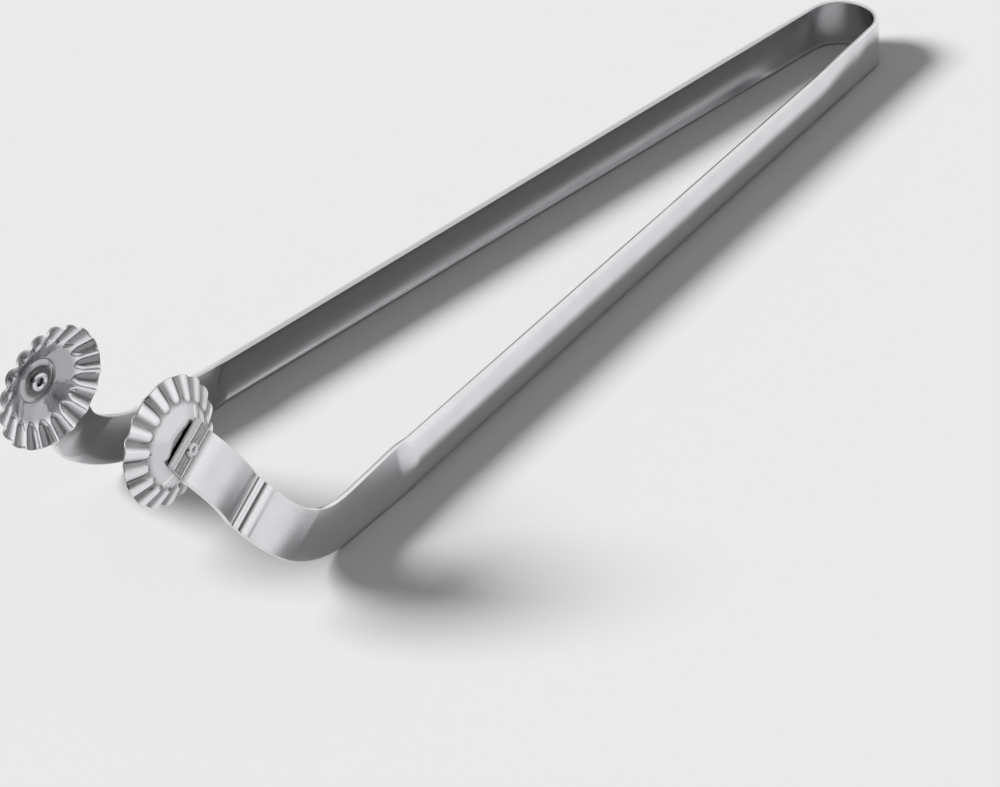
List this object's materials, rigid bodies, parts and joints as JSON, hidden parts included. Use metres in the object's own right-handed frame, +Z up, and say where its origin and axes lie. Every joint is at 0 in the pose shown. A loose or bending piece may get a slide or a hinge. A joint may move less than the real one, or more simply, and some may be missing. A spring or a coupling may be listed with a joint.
{
  "type": "barbecue tongs",
  "caption": "Long sprung steel tongs bent from a strap, with crowned arms, upturned folded heads and a fluted gripping disc riveted inside each head.",
  "frame": {"origin": "centre of the bounding box on the floor, under the arms", "axes": "+X from the gripping discs to the spring bow, +Y from the left arm to the right arm, +Z up as the tongs stand on the edges of their strap"},
  "size_m": [0.4198, 0.091, 0.0835],
  "materials": {
    "brushed_steel": "satin stainless steel strap, brushed along its length",
    "bright_steel": "bright pressed stainless steel sheet",
    "polished_rivet": "polished stainless steel rivet"
  },
  "bodies": {
    "bow": {"spring_bow": "brushed_steel"},
    "left_half": {"left_arm": "brushed_steel", "left_rivet": "polished_rivet"},
    "right_half": {"right_arm": "brushed_steel", "right_rivet": "polished_rivet"},
    "left_grip": {"left_disc": "bright_steel"},
    "right_grip": {"right_disc": "bright_steel"}
  },
  "joints": [
    {"name": "left_arm_flex", "type": "hinge", "parent": "bow", "child": "left_half", "pos_m": [0.19698, -0.01298, 0.0091], "axis": [0, 0, -1], "range_deg": [-1.5, 3.25], "stiffness_Nm_per_rad": 25},
    {"name": "right_arm_flex", "type": "hinge", "parent": "bow", "child": "right_half", "pos_m": [0.19698, 0.01298, 0.0091], "axis": [0, 0, 1], "range_deg": [-1.5, 3.25], "stiffness_Nm_per_rad": 25},
    {"name": "left_disc_spin", "type": "hinge", "parent": "left_half", "child": "left_grip", "pos_m": [-0.18873, -0.03263, 0.06319], "axis": [0.0634, -0.9972, 0.0407], "continuous": true},
    {"name": "right_disc_spin", "type": "hinge", "parent": "right_half", "child": "right_grip", "pos_m": [-0.18873, 0.03263, 0.06319], "axis": [0.0634, 0.9972, 0.0407], "continuous": true}
  ],
  "couplings": [
    {"joint": "right_arm_flex", "follows": "left_arm_flex", "ratio": 1}
  ]
}
